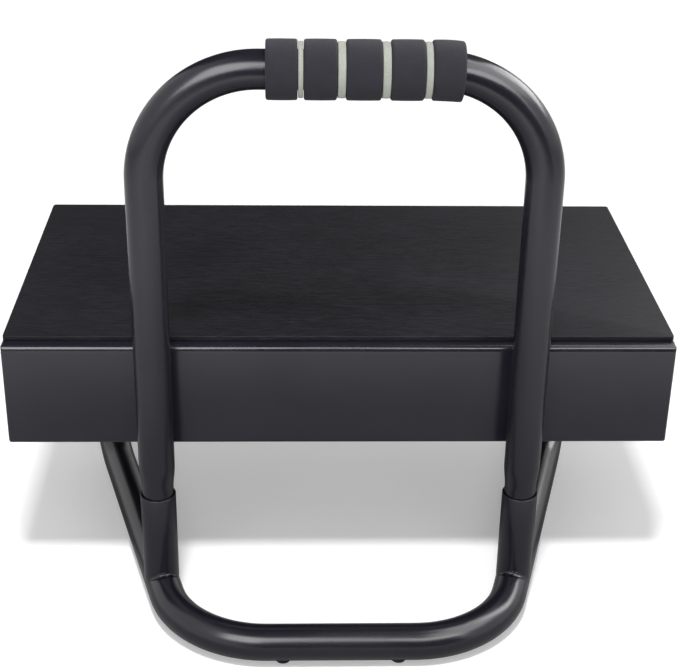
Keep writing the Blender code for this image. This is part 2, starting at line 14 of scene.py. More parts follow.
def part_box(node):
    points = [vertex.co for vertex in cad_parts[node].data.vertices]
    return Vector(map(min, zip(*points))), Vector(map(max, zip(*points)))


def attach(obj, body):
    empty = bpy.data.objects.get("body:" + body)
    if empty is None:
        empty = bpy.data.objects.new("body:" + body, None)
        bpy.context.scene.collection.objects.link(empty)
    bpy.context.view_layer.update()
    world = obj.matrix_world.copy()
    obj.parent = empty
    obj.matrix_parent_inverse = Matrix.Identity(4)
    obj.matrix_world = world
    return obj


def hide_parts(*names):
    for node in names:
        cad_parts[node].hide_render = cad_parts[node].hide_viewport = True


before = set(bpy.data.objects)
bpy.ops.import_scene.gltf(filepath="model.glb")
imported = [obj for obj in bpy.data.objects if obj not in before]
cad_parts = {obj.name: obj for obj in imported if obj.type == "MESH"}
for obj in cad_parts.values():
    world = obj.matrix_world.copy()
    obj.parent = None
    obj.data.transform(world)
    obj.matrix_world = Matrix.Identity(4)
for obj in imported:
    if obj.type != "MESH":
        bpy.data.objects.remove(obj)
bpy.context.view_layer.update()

# Camera, fitted to the photograph's 679 x 671 frame
CAMERA_PLACE = (-0.0299, -0.8671, 0.5764)
CAMERA_YAW = -0.0360
CAMERA_PITCH = 0.4608
CAMERA_ROLL = 0.0167
CAMERA_LENS = 78.65

# Stand
TUBE = 0.011  # outside radius
TUBE_WALL = 0.0012
TUBE_SIDES = 64
FLOOR_AXIS = 0.013  # height of the floor arms' axis
BAR_Y = -0.14825
CORNER_BEND = 0.066
RISER_BEND = 0.055
HANDLE_X = 0.1125
HANDLE_Y = -0.08475
RISER_X = 0.1685
RISER_Y = 0.11225
ARM_Z = 0.135
ARM_END_Y = -0.03575
ARM_AHEAD = Vector((RISER_X - HANDLE_X, RISER_Y - HANDLE_Y, 0)).normalized()
HOLE_MARGIN = 0.009  # from a drilled hole's middle to the tube's next ring of points
THROUGH = 0.03  # how far a drill reaches past the middle of a tube

# Handle
HANDLE_BEND = 0.064
HANDLE_TOP = 0.3483  # of the tube's axis
SOCKET_TOP = 0.079
SOCKET_WALL = 0.001
SOCKET_RIM = 0.00035  # rounding of the rim
SOCKET_RING = 0.030  # from the rim down to a ring of points
NECK = 0.0097  # radius of the ends that enter the sockets
NECK_FOOT = 0.037
NECK_TOP = 0.083
NECK_TAPER = 0.016
NECK_STEPS = 8
HANDLE_RING = 0.06  # from the taper up to a ring of points
SCREW_DROP = 0.021  # from the socket's rim
SCREW_HOLE = 0.0028
SCREW_HEAD = 0.00475
WELD_RING = TUBE - 0.0002  # radius of the bead's core round the socket
WELD_CORE = 0.001
WELD_RISE = 0.0003  # of the core over the base tube
WELD_REACH = 2.7  # of the bead, in cores
WELD_SIDE = 0.35  # share of the reach that is left where the tubes run side by side
WELD_HOLLOW = 0.45  # share of the reach taken from the middle of the bead's face
WELD_BURIED = 0.3  # and from the side that lies inside the tubes
WELD_RIPPLES = 44
WELD_RIPPLE_DEPTH = 0.012

# Grip
GRIP = 0.0164  # radius of the black segments
GRIP_RING = 0.0152
GRIP_BORE = 0.0115
GRIP_SEGMENTS = (0.01735, 0.01795, 0.01915, 0.01815, 0.01695)  # cut by hand, none quite alike
GRIP_RINGS = (0.00275, 0.00435, 0.00445, 0.0038)
GRIP_START = -0.04415
GRIP_END_TURN = 0.2  # share of the handle's turn that the stiff foam follows
GRIP_SKIN_SAG = 0.45  # share of the handle's fall that the foam's outside follows
SEGMENT_EDGE = 0.0013
SEGMENT_SWELL = 0.00012
RING_EDGE = 0.0005
RING_SWELL = 0.0001
SLEEVE_ROWS = 14
SLEEVE_MOUTH = 0.0006  # chamfer at the bore's ends, along the end face
SLEEVE_MOUTH_DEPTH = 0.0004

# Feet
FOOT_STEM = 0.002
FOOT_STEM_TOP = 0.006
FOOT_PAD = 0.0045
FOOT_PAD_TOP = 0.0017
FOOT_ROUND = 0.0006

# Tilt
PIVOT = Vector((0, 0.04225, ARM_Z))
LOCK = Vector((0, -0.01575, ARM_Z))
LOCK_RADIUS = PIVOT.y - LOCK.y
TILT = radians(20)
ROD = 0.004  # radius
BOLT = 0.003
SPACER = 0.0075
SPACER_EDGE = 0.0006
SPACER_REACH = 0.0143  # from the arm's axis to the spacer's flat face
BRACKET_X = 0.1831  # inner face
BRACKET_SHEET = 0.0025
BRACKET_FOLD = 0.001  # inside radius
BRACKET_EAR = 0.013  # radius round the pivot
BRACKET_MARGIN = 0.0065  # metal round the slot
BRACKET_FLANGE = 0.013
BRACKET_TOP = 0.1692
BRACKET_SPOT_X = 0.0085  # from the inner face to the spot welds
BRACKET_SPOTS = (-0.046, -0.022, 0.002)  # along Y, from the pivot
SPOT = 0.0023  # radius of a spot weld's print
SPOT_DEPTH = 0.0002
NUT = 0.0065  # half across the flats
NUT_HEX = 0.0048  # thickness of the hexagon
NUT_HEIGHT = 0.0065
THREAD_LEAD = 0.0012  # from the rod's end to its thread
THREAD = 0.013
THREAD_PITCH = 0.00125
ROD_PLAIN = 0.0155  # from the rod's end to its plain middle
BOLT_THREAD_LEAD = 0.001
BOLT_THREAD = 0.017
BOLT_PITCH = 0.001
BOLT_PLAIN = 0.0185  # from the bolt's tip to its plain shank
BOLT_HEAD_EDGE = 0.0004
KNOB = 0.015
KNOB_FACE = 0.1536  # the knob's face towards the arm
KNOB_THICKNESS = 0.013
KNOB_BOSS = 0.0074
KNOB_ROUND = 0.0022
KNOB_WHEEL = 0.0048  # from the arm's side to the middle of the wheel's first rounding
KNOB_LOBES = 5
KNOB_LOBE_FOOT = 0.0076  # radius where the hollows between the lobes begin
KNOB_LOBE_DEPTH = 0.19  # share of the radius
PLUG_RIBS = 4
PLUG_PITCH = 0.003
PLUG_GROOVE = 0.0013
PLUG_END = -0.0137

# Tray and mat
TRAY_LOW, TRAY_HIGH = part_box("platform_tray")
TRAY_SHEET = 0.0015
TRAY_FOLD = 0.0042  # outside radius along the front and rear
TRAY_CORNER = 0.0016  # outside radius of the other edges
TRAY_LIP = 0.008
MAT_LOW, MAT_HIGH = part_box("foot_mat")
MAT_CORNER = 0.0022
MAT_EDGE = 0.0006
STIFFENER_SHEET = 0.0012
STIFFENER_FOOT = 0.0128  # half width between the flanges
STIFFENER_SECTION = ((0.0120, 0.0004), (0.0116, 0.0011), (0.0097, 0.0082), (0.0092, 0.0089))
STIFFENER_CROWN = ((0.0084, 0.0090), (0, 0.0090))  # both: across and down, half of the hat
STIFFENER_SPOTS = 7
STIFFENER_SPOT_END = 0.0115  # from the stiffener's end to the first spot weld
STIFFENER_SPOT_Y = 0.0172

GAP = 0.0003  # between neighbours

# Studio
FLOOR_SPAN = 14
FLOOR_REFLECTED_SHADE = 0.62  # painted shade: how much darker reflections see the floor near the footrest
FLOOR_LIFT_NEAR = 0.22  # glow of the floor for the camera alone
FLOOR_LIFT_FAR = 0.7
WORLD_SOFT = 0.5  # even light for surfaces
WORLD_SEEN = 0.6  # added where the camera sees it
WALL_DARK = 0.05  # brightness of reflections straight ahead and behind
WALL_PALE = 1.05  # and at the left and right
WALL_SHIFT = 0.04
CARD_TARGET = Vector((0, -0.08, 0.2))


# ---------------------------------------------------------------- shaping


def alone(piece):
    """Selects one piece and nothing else."""
    bpy.ops.object.select_all(action="DESELECT")
    piece.select_set(True)
    bpy.context.view_layer.objects.active = piece


def begin(name, primitive, **sizes):
    """Adds a primitive at its size and place and opens it for shaping."""
    bpy.ops.object.select_all(action="DESELECT")
    primitive(**sizes)
    piece = bpy.context.object
    piece.name = name
    piece.data.name = name
    bpy.ops.object.transform_apply(location=True, rotation=True, scale=True)
    bpy.ops.object.mode_set(mode="EDIT")
    return piece


def pick(piece, kind, test):
    """Selects the points, edges or faces that pass a test, and nothing else."""
    bpy.ops.mesh.select_mode(type=kind)
    bpy.ops.mesh.select_all(action="DESELECT")
    shape = bmesh.from_edit_mesh(piece.data)
    items = {"VERT": shape.verts, "EDGE": shape.edges, "FACE": shape.faces}[kind]
    for item in items:
        if test(item):
            item.select_set(True)
    shape.select_flush_mode()
    bmesh.update_edit_mesh(piece.data)


def middle(item):
    """The middle of an edge or a face."""
    return sum((corner.co for corner in item.verts), Vector()) / len(item.verts)


def close(piece, merge=1e-6):
    """Merges doubles, turns the faces outwards and leaves edit mode."""
    bpy.ops.mesh.select_mode(type="VERT")
    bpy.ops.mesh.select_all(action="SELECT")
    bpy.ops.mesh.remove_doubles(threshold=merge)
    bpy.ops.mesh.normals_make_consistent(inside=False)
    bpy.ops.object.mode_set(mode="OBJECT")
    return piece


def work(piece, kind, **settings):
    """Adds a modifier with its settings and applies it."""
    alone(piece)
    step = piece.modifiers.new(kind.lower(), kind)
    for name, value in settings.items():
        setattr(step, name, value)
    bpy.ops.object.modifier_apply(modifier=step.name)


def cut(piece, cutter, operation="DIFFERENCE"):
    """Cuts a piece with a cutter, which is used up."""
    work(piece, "BOOLEAN", object=cutter, operation=operation, solver="EXACT")
    bpy.data.objects.remove(cutter, do_unlink=True)


def soften(piece, width, segments=2, angle=40):
    """Rounds the edges that are sharper than an angle."""
    work(
        piece,
        "BEVEL",
        width=width,
        segments=segments,
        limit_method="ANGLE",
        angle_limit=radians(angle),
    )


def smooth(piece, angle=35):
    """Smooth shading that keeps the real edges."""
    alone(piece)
    bpy.ops.object.shade_smooth_by_angle(angle=radians(angle))


def drill(start, end, radius, sides=48):
    """A round cutter between two points."""
    start = Vector(start)
    end = Vector(end)
    cutter = begin(
        "drill",
        bpy.ops.mesh.primitive_cylinder_add,
        vertices=sides,
        radius=radius,
        depth=(end - start).length,
        location=(start + end) / 2,
        rotation=(end - start).to_track_quat("Z", "Y").to_euler(),
    )
    bpy.ops.object.mode_set(mode="OBJECT")
    return cutter


def block(low, high, name="block"):
    """A square cutter or blank between two corners."""
    low = Vector(low)
    high = Vector(high)
    piece = begin(
        name, bpy.ops.mesh.primitive_cube_add, size=1, location=(low + high) / 2, scale=high - low
    )
    bpy.ops.object.mode_set(mode="OBJECT")
    return piece


def drawn_line(name, points):
    """A line drawn point by point, open for further shaping."""
    piece = begin(name, bpy.ops.mesh.primitive_plane_add, size=0.001, location=points[0])
    bpy.ops.mesh.select_all(action="SELECT")
    bpy.ops.mesh.merge(type="CENTER")
    for before, after in zip(points, points[1:]):
        step = Vector(after) - Vector(before)
        bpy.ops.mesh.extrude_region_move(TRANSFORM_OT_translate={"value": step})
    return piece


def turned(name, profile, place=(0, 0, 0), ahead=(0, 0, 1), steps=64):
    """A turned piece: (radius, height) points spun about an axis that is then turned ahead."""
    piece = drawn_line(name, [(radius, 0, height) for radius, height in profile])
    bpy.ops.mesh.select_all(action="SELECT")
    bpy.ops.mesh.spin(steps=steps, angle=2 * pi, center=(0, 0, 0), axis=(0, 0, 1))
    close(piece)
    piece.rotation_mode = "QUATERNION"
    piece.rotation_quaternion = Vector(ahead).to_track_quat("Z", "Y")
    piece.location = place
    alone(piece)
    bpy.ops.object.transform_apply(location=True, rotation=True, scale=True)
    return piece


def round_corner(centre, radius, first, last, steps=5):
    """Profile points round a corner, angles in degrees."""
    turns = [radians(first + (last - first) * i / steps) for i in range(steps + 1)]
    return [(centre[0] + radius * cos(a), centre[1] + radius * sin(a)) for a in turns]


def mirrored(piece, name):
    """A copy on the other side of the footrest's middle, with its own mesh."""
    alone(piece)
    bpy.ops.object.duplicate(linked=False)
    copy = bpy.context.object
    copy.name = name
    copy.data.name = name
    copy.scale = (-1, 1, 1)
    bpy.ops.object.transform_apply(location=True, rotation=True, scale=True)
    shape = bmesh.new()
    shape.from_mesh(copy.data)
    if shape.calc_volume(signed=True) < 0:
        bmesh.ops.reverse_faces(shape, faces=shape.faces)
        shape.to_mesh(copy.data)
    shape.free()
    return copy


class TubeBender:
    """Feeds and bends a round tube from its first end, ring by ring."""

    def __init__(self, name, place, ahead, radius=TUBE, sides=TUBE_SIDES):
        """Draws the ring of the tube's first end."""
        self.place = Vector(place)
        self.ahead = Vector(ahead).normalized()
        self.radius = radius
        self.tube = begin(
            name,
            bpy.ops.mesh.primitive_circle_add,
            vertices=sides,
            radius=radius,
            location=self.place,
            rotation=self.ahead.to_track_quat("Z", "Y").to_euler(),
        )

    def feed(self, length, radius=None):
        """Pushes the tube ahead, to a new radius if one is given."""
        step = self.ahead * length
        bpy.ops.mesh.extrude_region_move(TRANSFORM_OT_translate={"value": step})
        self.place += step
        if radius:
            scale = radius / self.radius
            bpy.ops.transform.resize(value=(scale, scale, scale), center_override=self.place)
            self.radius = radius

    def bend(self, radius, towards, angle, steps=24):
        """Bends the tube towards a direction."""
        towards = Vector(towards)
        side = (towards - towards.project(self.ahead)).normalized()
        centre = self.place + side * radius
        axis = self.ahead.cross(side)
        bpy.ops.mesh.spin(steps=steps, angle=-angle, center=centre, axis=axis)
        turn = Matrix.Rotation(angle, 3, axis)
        self.place = centre + turn @ (self.place - centre)
        self.ahead = turn @ self.ahead

    def finish(self, wall, mirror=True):
        """Mirrors the half tube, turns it outwards and gives it its wall."""
        bpy.ops.object.mode_set(mode="OBJECT")
        if mirror:
            work(self.tube, "MIRROR", merge_threshold=1e-5)
        bpy.ops.object.mode_set(mode="EDIT")
        close(self.tube)
        work(self.tube, "SOLIDIFY", thickness=wall, offset=-1, use_even_offset=True)
        return self.tube


# ---------------------------------------------------------------- finishes


def colour(code):
    """sRGB hex as linear red, green, blue and alpha."""
    levels = [int(code[i : i + 2], 16) / 255 for i in (1, 3, 5)]
    return [((v + 0.055) / 1.055) ** 2.4 if v > 0.04045 else v / 12.92 for v in levels] + [1]


def add_node(tree, kind, inputs, **settings):
    """Adds a node with its settings, values and links."""
    made = tree.nodes.new(kind)
    for name, value in settings.items():
        setattr(made, name, value)
    for socket, source in inputs.items():
        if isinstance(source, bpy.types.NodeSocket):
            tree.links.new(source, made.inputs[socket])
        else:
            made.inputs[socket].default_value = source
    return made


def new_finish(name, **values):
    """A Principled finish with its even values on the shader's own sockets."""
    finish = bpy.data.materials.new(name)
    finish.use_nodes = True
    tree = finish.node_tree
    shader = tree.nodes["Principled BSDF"]
    for socket, value in values.items():
        shader.inputs[socket.replace("_", " ")].default_value = value
    place = add_node(tree, "ShaderNodeTexCoord", {}).outputs["Object"]
    return finish, tree, shader, place


def noise(tree, place, millimetres, detail=2.0, roughness=0.5, stretch=(1, 1, 1)):
    """Noise whose grains are about so many millimetres wide."""
    scaled = add_node(tree, "ShaderNodeMapping", {"Vector": place, "Scale": stretch})
    made = add_node(
        tree,
        "ShaderNodeTexNoise",
        {
            "Vector": scaled.outputs["Vector"],
            "Scale": 1000 / millimetres,
            "Detail": detail,
            "Roughness": roughness,
        },
    )
    return made.outputs["Fac"]


def spread(tree, value, low, high, new_low, new_high):
    """Stretches a value from one range to another."""
    inputs = {"Value": value, "From Min": low, "From Max": high}
    inputs |= {"To Min": new_low, "To Max": new_high}
    return add_node(tree, "ShaderNodeMapRange", inputs).outputs["Result"]


def contrast(tree, value, new_low=0, new_high=1):
    """Stretches noise, most of which lies from 0.3 to 0.7, to a new range."""
    return spread(tree, value, 0.3, 0.7, new_low, new_high)


def reckon(tree, operation, *values):
    """A sum, product or absolute value."""
    inputs = dict(enumerate(values))
    return add_node(tree, "ShaderNodeMath", inputs, operation=operation).outputs["Value"]


def cells(tree, place, millimetres):
    """The distance from the middles of cells about so many millimetres wide."""
    inputs = {"Vector": place, "Scale": 1000 / millimetres, "Randomness": 1.0}
    return add_node(tree, "ShaderNodeTexVoronoi", inputs).outputs["Distance"]


def two_tone(tree, value, first, second):
    """A colour between two hex colours. A colour mix has its colours on sockets 6, 7 and 2."""
    inputs = {0: value, 6: colour(first), 7: colour(second)}
    return add_node(tree, "ShaderNodeMix", inputs, data_type="RGBA").outputs[2]


def bumps(tree, height, depth, under=None):
    """A bump of so many millimetres, over an earlier one if given."""
    inputs = {"Height": height, "Distance": depth / 1000, "Strength": 1.0}
    if under:
        inputs["Normal"] = under
    return add_node(tree, "ShaderNodeBump", inputs).outputs["Normal"]


def powder_coat(name, dark, light, roughness, peel, peel_depth):
    """Polyester powder coat, sprayed and baked: orange peel and slight patches of gloss."""
    finish, tree, shader, place = new_finish(name, IOR=1.5)
    patches = noise(tree, place, 45, detail=3)
    grain = noise(tree, place, 0.5, detail=1)
    orange_peel = noise(tree, place, peel, detail=1.5)
    tone = contrast(tree, patches)
    tree.links.new(two_tone(tree, tone, dark, light), shader.inputs["Base Color"])
    gloss = contrast(tree, patches, roughness - 0.025, roughness + 0.025)
    tree.links.new(gloss, shader.inputs["Roughness"])
    fine = bumps(tree, grain, 0.004)
    tree.links.new(bumps(tree, orange_peel, peel_depth, fine), shader.inputs["Normal"])
    return finish


def make_mat_finish():
    """Embossed foam rubber sheet: dull, with a fine grain drawn out by the roller."""
    finish, tree, shader, place = new_finish("embossed_foam_rubber", IOR=1.5)
    shader.inputs["Specular IOR Level"].default_value = 0.16
    clouds = noise(tree, place, 70, detail=3)
    # The real streaks are about 0.4 mm wide, drawn at 1.1 mm so that they show
    streaks = noise(tree, place, 1.1, detail=2, stretch=(0.12, 1, 1))
    pebbles = cells(tree, place, 0.9)
    tone = reckon(tree, "ADD", contrast(tree, clouds, 0, 0.5), contrast(tree, streaks, 0, 0.5))
    tree.links.new(two_tone(tree, tone, "#08070C", "#1A1920"), shader.inputs["Base Color"])
    tree.links.new(contrast(tree, streaks, 0.46, 0.58), shader.inputs["Roughness"])
    grain = bumps(tree, pebbles, 0.06)
    tree.links.new(bumps(tree, streaks, 0.3, grain), shader.inputs["Normal"])
    return finish


def foam(name, dark, light, pore_depth):
    """Closed-cell foam, moulded and ground to size: matt, with open cells at its skin, painted
    darker in their pits as shade.
    """
    finish, tree, shader, place = new_finish(name, IOR=1.45, Roughness=0.92)
    shader.inputs["Specular IOR Level"].default_value = 0.3
    shader.inputs["Sheen Weight"].default_value = 0.03
    shader.inputs["Sheen Roughness"].default_value = 0.6
    # The real cells are about 0.3 mm wide, drawn at 0.7 mm so that they show
    pores = cells(tree, place, 0.7)
    clouds = noise(tree, place, 9, detail=3)
    # Painted shade: each open cell is darker towards its deepest middle
    pore_painted_shade = spread(tree, pores, 0.1, 0.6, 0, 0.6)
    tone = reckon(tree, "ADD", pore_painted_shade, contrast(tree, clouds, 0, 0.4))
    tree.links.new(two_tone(tree, tone, dark, light), shader.inputs["Base Color"])
    lumps = bumps(tree, clouds, 0.14)
    tree.links.new(bumps(tree, pores, pore_depth, lumps), shader.inputs["Normal"])
    return finish


def moulded(name, dark, light, roughness, grain, depth):
    """Injection-moulded plastic or rubber with the spark-eroded grain of its mould."""
    finish, tree, shader, place = new_finish(name, IOR=1.49)
    sparks = noise(tree, place, grain, detail=2)
    flow = noise(tree, place, 12, detail=2)
    tone = contrast(tree, flow)
    tree.links.new(two_tone(tree, tone, dark, light), shader.inputs["Base Color"])
    gloss = contrast(tree, sparks, roughness - 0.05, roughness + 0.05)
    tree.links.new(gloss, shader.inputs["Roughness"])
    tree.links.new(bumps(tree, sparks, depth), shader.inputs["Normal"])
    return finish


def make_zinc_finish():
    """Bright zinc plate over turned steel: cool grey with faint blue and straw patches."""
    finish, tree, shader, place = new_finish("zinc_plated_steel", Metallic=1.0)
    patches = noise(tree, place, 5, detail=2)
    lines = noise(tree, place, 0.35, detail=2)
    tone = contrast(tree, patches)
    tree.links.new(two_tone(tree, tone, "#B4B9C0", "#C3BFB2"), shader.inputs["Base Color"])
    tree.links.new(contrast(tree, lines, 0.24, 0.38), shader.inputs["Roughness"])
    tree.links.new(bumps(tree, lines, 0.006), shader.inputs["Normal"])
    return finish


TUBE_COAT = powder_coat("satin_black_powder_coat", "#12111A", "#15141C", 0.24, 2.4, 0.02)
TRAY_COAT = powder_coat("smooth_black_powder_coat", "#17161E", "#1B1A23", 0.18, 1.6, 0.012)
MAT_RUBBER = make_mat_finish()
BLACK_FOAM = foam("black_closed_cell_foam", "#16161C", "#1F1E26", 0.12)
GREY_FOAM = foam("light_grey_closed_cell_foam", "#84877F", "#999C93", 0.1)
NYLON = moulded("black_moulded_nylon", "#17171A", "#1E1E21", 0.48, 0.5, 0.02)
RUBBER = moulded("black_moulded_rubber", "#141416", "#1A1A1C", 0.7, 0.6, 0.03)
ZINC = make_zinc_finish()


def hand_over(piece, finish, body, node):
    """Gives a finished piece its finish, its body and the CAD node that it stands for."""
    if not piece.data.materials:
        piece.data.materials.append(finish)
    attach(piece, body)
    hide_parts(node)
    return piece


def both_sides(right, finish, body, node):
    """Hands over a right-hand piece and its mirrored copy on the left."""
    left = mirrored(right, right.name.replace("right", "left"))
    hand_over(right, finish, body, node + "right")
    hand_over(left, finish, body, node + "left")


# ---------------------------------------------------------------- stand


def make_stand_tube():
    """The one bent tube: front bar, floor arms, risers and top arms."""
    corner_x = HANDLE_X - (HANDLE_Y - BAR_Y) * ARM_AHEAD.x / ARM_AHEAD.y
    turn = atan2(ARM_AHEAD.y, ARM_AHEAD.x)
    setback = CORNER_BEND * tan(turn / 2)
    floor_arm = hypot(RISER_X - corner_x, RISER_Y - BAR_Y) - setback - RISER_BEND
    bender = TubeBender("stand_tube", (0, BAR_Y, FLOOR_AXIS), (1, 0, 0))
    bender.feed(corner_x - setback)
    bender.bend(CORNER_BEND, (0, 1, 0), turn)
    bender.feed(floor_arm)
    bender.bend(RISER_BEND, (0, 0, 1), pi / 2)
    bender.feed(ARM_Z - FLOOR_AXIS - 2 * RISER_BEND)
    bender.bend(RISER_BEND, (0, -1, 0), pi / 2)
    stops = [hole.y + side * HOLE_MARGIN for hole in (PIVOT, LOCK) for side in (1, -1)]
    for stop in (*stops, ARM_END_Y):
        bender.feed(bender.place.y - stop)
    tube = bender.finish(TUBE_WALL)
    reach = Vector((RISER_X + THROUGH, 0, 0))
    cut(tube, drill(PIVOT - reach, PIVOT + reach, ROD + GAP))
    cut(tube, drill(LOCK - reach, LOCK + reach, BOLT + GAP))
    smooth(tube)
    hand_over(tube, TUBE_COAT, "stand", "base_frame_tube")


def make_sockets():
    """Socket stubs on the floor arms, with their weld beads and the screws behind them."""
    foot = Vector((HANDLE_X, HANDLE_Y, FLOOR_AXIS))
    bender = TubeBender("socket_right", (HANDLE_X, HANDLE_Y, SOCKET_TOP), (0, 0, -1))
    bender.feed(SOCKET_RING)
    bender.feed(SOCKET_TOP - FLOOR_AXIS - SOCKET_RING)
    socket = bender.finish(SOCKET_WALL, mirror=False)
    screw_z = SOCKET_TOP - SCREW_DROP
    along = ARM_AHEAD * THROUGH
    cut(socket, drill(foot - along, foot + along, TUBE + GAP, TUBE_SIDES))
    inside = Vector((foot.x, foot.y, screw_z))
    cut(socket, drill(inside, inside + Vector((0, 0.02, 0)), SCREW_HOLE, 32))
    bpy.ops.object.mode_set(mode="EDIT")
    pick(socket, "EDGE", lambda edge: all(corner.co.z > SOCKET_TOP - 1e-5 for corner in edge.verts))
    bpy.ops.mesh.bevel(offset=SOCKET_RIM, segments=3, affect="EDGES")
    bpy.ops.object.mode_set(mode="OBJECT")
    smooth(socket)
    weld = make_weld(foot)
    screw = make_screw((foot.x, foot.y + TUBE + GAP, screw_z))
    both_sides(socket, TUBE_COAT, "stand", "handle_socket_")
    both_sides(weld, TUBE_COAT, "stand", "socket_weld_")
    both_sides(screw, ZINC, "stand", "handle_screw_")


def make_weld(foot):
    """A painted hollow fillet round the socket's saddle, widest where the tubes meet squarely."""
    weld = begin(
        "weld_right",
        bpy.ops.mesh.primitive_torus_add,
        location=foot,
        major_radius=WELD_RING,
        minor_radius=WELD_CORE,
        major_segments=192,
        minor_segments=24,
    )
    shape = bmesh.from_edit_mesh(weld.data)
    along = atan2(ARM_AHEAD.y, ARM_AHEAD.x)
    for corner in shape.verts:
        out = corner.co - foot
        angle = atan2(out.y, out.x)
        across = WELD_RING * sin(angle - along)
        saddle = sqrt((WELD_RING + WELD_RISE) ** 2 - across**2)
        fall = atan2(across**2 / WELD_RING, saddle)
        spoke = Vector((cos(angle), sin(angle), 0))
        section = out - spoke * WELD_RING
        turn = atan2(section.z, section.dot(spoke))
        hollow = WELD_HOLLOW * sin(2 * turn) ** 2 if 0 < turn < pi / 2 else WELD_BURIED
        square = WELD_SIDE + (1 - WELD_SIDE) * cos(angle - along) ** 2
        ripple = 1 + WELD_RIPPLE_DEPTH * cos(WELD_RIPPLES * angle)
        reach = WELD_REACH * square * ripple * (1 - hollow)
        outward = section.dot(spoke) * reach
        rise = saddle + section.z * reach - outward * sin(fall)
        corner.co = foot + spoke * (WELD_RING + outward * cos(fall)) + Vector((0, 0, rise))
    bmesh.update_edit_mesh(weld.data)
    close(weld)
    smooth(weld, 60)
    return weld


def make_screw(seat):
    """A pan-head screw with a cross recess."""
    profile = [(0, 0.0026), (0.0016, 0.00255), (0.0030, 0.0023), (0.0040, 0.0017)]
    profile += [(0.0046, 0.0009), (SCREW_HEAD, 0.0002), (SCREW_HEAD, 0)]
    profile += [(0.0025, 0), (0.0025, -0.0048), (0, -0.0052)]
    screw = turned("socket_screw_right", profile, seat, (0, 1, 0), 40)
    x, y, z = seat
    for wide, tall in ((0.0024, 0.0005), (0.0005, 0.0024)):
        cut(screw, block((x - wide, y + 0.0012, z - tall), (x + wide, y + 0.004, z + tall)))
    soften(screw, 0.00015, 1, 50)
    smooth(screw)
    return screw


def make_handle():
    """The inverted U with its ends necked down into the sockets."""
    bender = TubeBender("carrying_handle", (-HANDLE_X, HANDLE_Y, NECK_FOOT), (0, 0, 1), NECK)
    bender.feed(NECK_TOP - NECK_FOOT)
    for i in range(1, NECK_STEPS + 1):
        share = i / NECK_STEPS
        radius = NECK + (TUBE - NECK) * share * share * (3 - 2 * share)
        bender.feed(NECK_TAPER / NECK_STEPS, radius)
    bender.feed(HANDLE_RING)
    bender.feed(HANDLE_TOP - HANDLE_BEND - bender.place.z)
    bender.bend(HANDLE_BEND, (1, 0, 0), pi / 2, 40)
    bender.feed(HANDLE_X - HANDLE_BEND)
    handle = bender.finish(TUBE_WALL)
    smooth(handle)
    hand_over(handle, TUBE_COAT, "stand", "handle_tube")


def follow_handle(piece):
    """Lays a straight sleeve on the handle's bend, its outside less than its bore."""
    straight = HANDLE_X - HANDLE_BEND
    for corner in piece.data.vertices:
        past = corner.co.x - straight
        if past > 0:
            turn = asin(past / HANDLE_BEND)
            corner.co.x += (corner.co.z - HANDLE_TOP) * sin(turn * GRIP_END_TURN)
            off_axis = hypot(corner.co.y - HANDLE_Y, corner.co.z - HANDLE_TOP)
            depth = min((off_axis - GRIP_BORE) / (GRIP - GRIP_BORE), 1)
            corner.co.z -= HANDLE_BEND * (1 - cos(turn)) * (1 - (1 - GRIP_SKIN_SAG) * depth)


def make_sleeve(name, start, length, radius, edge, swell):
    """A foam sleeve with soft edges, a little fuller at its middle."""
    mouth = GRIP_BORE + SLEEVE_MOUTH
    points = [(GRIP_BORE, length / 2), (GRIP_BORE, SLEEVE_MOUTH_DEPTH), (mouth, 0)]
    points += round_corner((radius - edge, edge), edge, -90, 0, 7)
    for i in range(1, SLEEVE_ROWS):
        share = i / SLEEVE_ROWS
        points.append((radius + swell * sin(pi * share), edge + (length - 2 * edge) * share))
    points += round_corner((radius - edge, length - edge), edge, 0, 90, 7)
    points += [(mouth, length), (GRIP_BORE, length - SLEEVE_MOUTH_DEPTH), (GRIP_BORE, length / 2)]
    sleeve = turned(name, points, (start, HANDLE_Y, HANDLE_TOP), (1, 0, 0), 96)
    follow_handle(sleeve)
    smooth(sleeve, 60)
    return sleeve


def make_grip():
    """Five black foam segments with four narrower grey rings between them."""
    start = GRIP_START
    for i, length in enumerate(GRIP_SEGMENTS, 1):
        segment = make_sleeve(
            f"grip_foam_{i}", start, length, GRIP, SEGMENT_EDGE, SEGMENT_SWELL
        )
        hand_over(segment, BLACK_FOAM, "stand", f"grip_segment_{i}")
        start += length + GAP
        if i <= len(GRIP_RINGS):
            length = GRIP_RINGS[i - 1]
            ring = make_sleeve(
                f"grip_stripe_{i}", start, length, GRIP_RING, RING_EDGE, RING_SWELL
            )
            hand_over(ring, GREY_FOAM, "stand", f"grip_ring_{i}")
            start += length + GAP


def make_feet():
    """Small rubber feet plugged into the tube, with rounded pads."""
    profile = [(0, FOOT_STEM_TOP), (FOOT_STEM - 0.0006, FOOT_STEM_TOP)]
    profile += [(FOOT_STEM, FOOT_STEM_TOP - 0.0005), (FOOT_STEM, FOOT_PAD_TOP)]
    profile += [(FOOT_PAD - 0.0003, FOOT_PAD_TOP), (FOOT_PAD, FOOT_PAD_TOP - 0.0003)]
    profile += round_corner((FOOT_PAD - FOOT_ROUND, FOOT_ROUND), FOOT_ROUND, 0, -90)
    profile += [(0.0016, 0), (0.0012, 0.0004), (0, 0.0005)]
    for node in ("front_foot_left", "front_foot_right", "rear_foot_left", "rear_foot_right"):
        low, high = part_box(node)
        place = ((low.x + high.x) / 2, (low.y + high.y) / 2, 0)
        foot = turned(node.replace("foot", "rubber_foot"), profile, place)
        smooth(foot)
        hand_over(foot, RUBBER, "stand", node)


# ---------------------------------------------------------------- tray


def is_box_edge(edge, low, high):
    """Whether an edge lies along an edge of a box."""
    shared = 0
    for axis in range(3):
        for side in (low[axis], high[axis]):
            shared += all(abs(corner.co[axis] - side) < 1e-6 for corner in edge.verts)
    return shared == 2


